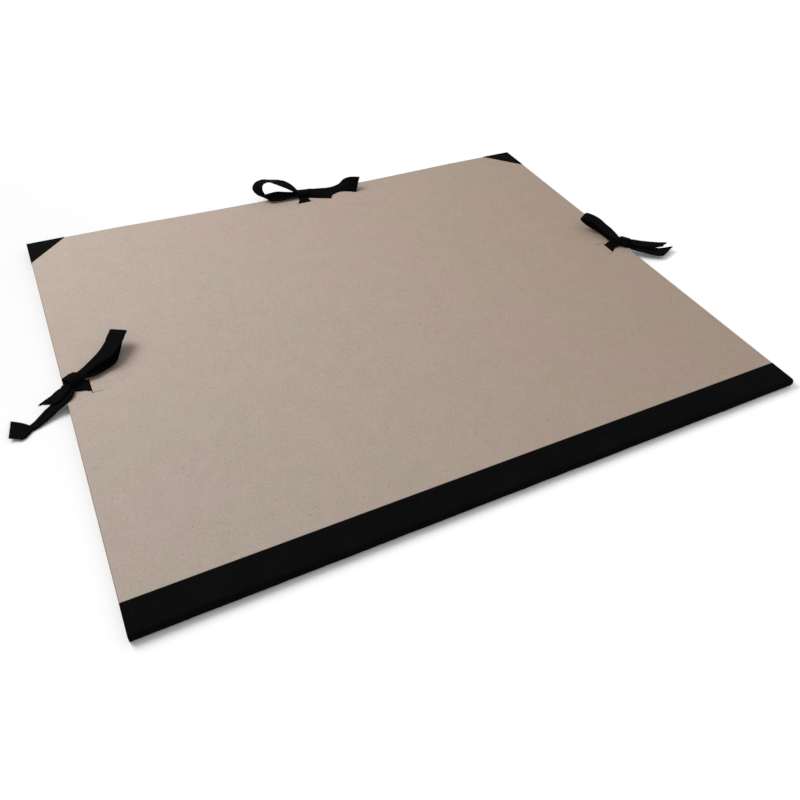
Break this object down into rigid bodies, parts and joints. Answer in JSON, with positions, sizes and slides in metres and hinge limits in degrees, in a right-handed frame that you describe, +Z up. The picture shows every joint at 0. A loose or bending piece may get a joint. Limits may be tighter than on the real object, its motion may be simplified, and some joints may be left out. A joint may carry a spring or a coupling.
{
  "type": "drawing portfolio",
  "caption": "Flat drawing portfolio of grey board with a black bookcloth spine and corners, closed by cotton tape ties in half bows.",
  "frame": {"origin": "middle of the back spine band's flat underside, on the surface that the portfolio rests on", "axes": "+X along the spine, +Y from the spine to the mouth, +Z up from the back board to the cover"},
  "size_m": [0.8407, 0.606, 0.0397],
  "materials": {
    "grey_board": "bare recycled grey-beige board, matte, fine fibres and flecks",
    "black_bookcloth": "matte black bookcloth, fine close weave",
    "black_cotton_tape": "soft matte black cotton tape, twill weave"
  },
  "bodies": {
    "back": {"back_board": "grey_board", "spine_cloth_back": "black_bookcloth", "hinge_lining_back": "black_bookcloth", "corner_cloth_back_left": "black_bookcloth", "corner_cloth_back_right": "black_bookcloth", "left_back_tape": "black_cotton_tape", "mouth_back_tape": "black_cotton_tape", "right_back_tape": "black_cotton_tape"},
    "cover": {"front_board": "grey_board", "spine_cloth_front": "black_bookcloth", "hinge_lining_front": "black_bookcloth", "corner_cloth_front_left": "black_bookcloth", "corner_cloth_front_right": "black_bookcloth", "left_front_tape": "black_cotton_tape", "left_knot": "black_cotton_tape", "left_loop": "black_cotton_tape", "left_long_tail": "black_cotton_tape", "left_short_tail": "black_cotton_tape", "mouth_front_tape": "black_cotton_tape", "mouth_knot": "black_cotton_tape", "mouth_loop": "black_cotton_tape", "mouth_long_tail": "black_cotton_tape", "mouth_short_tail": "black_cotton_tape", "right_front_tape": "black_cotton_tape", "right_knot": "black_cotton_tape", "right_loop": "black_cotton_tape", "right_long_tail": "black_cotton_tape", "right_short_tail": "black_cotton_tape"}
  },
  "joints": [
    {"name": "cover_hinge", "type": "hinge", "parent": "back", "child": "cover", "pos_m": [0, -0.01895, 0.0049], "axis": [1, 0, 0], "range_deg": [0, 180]}
  ]
}
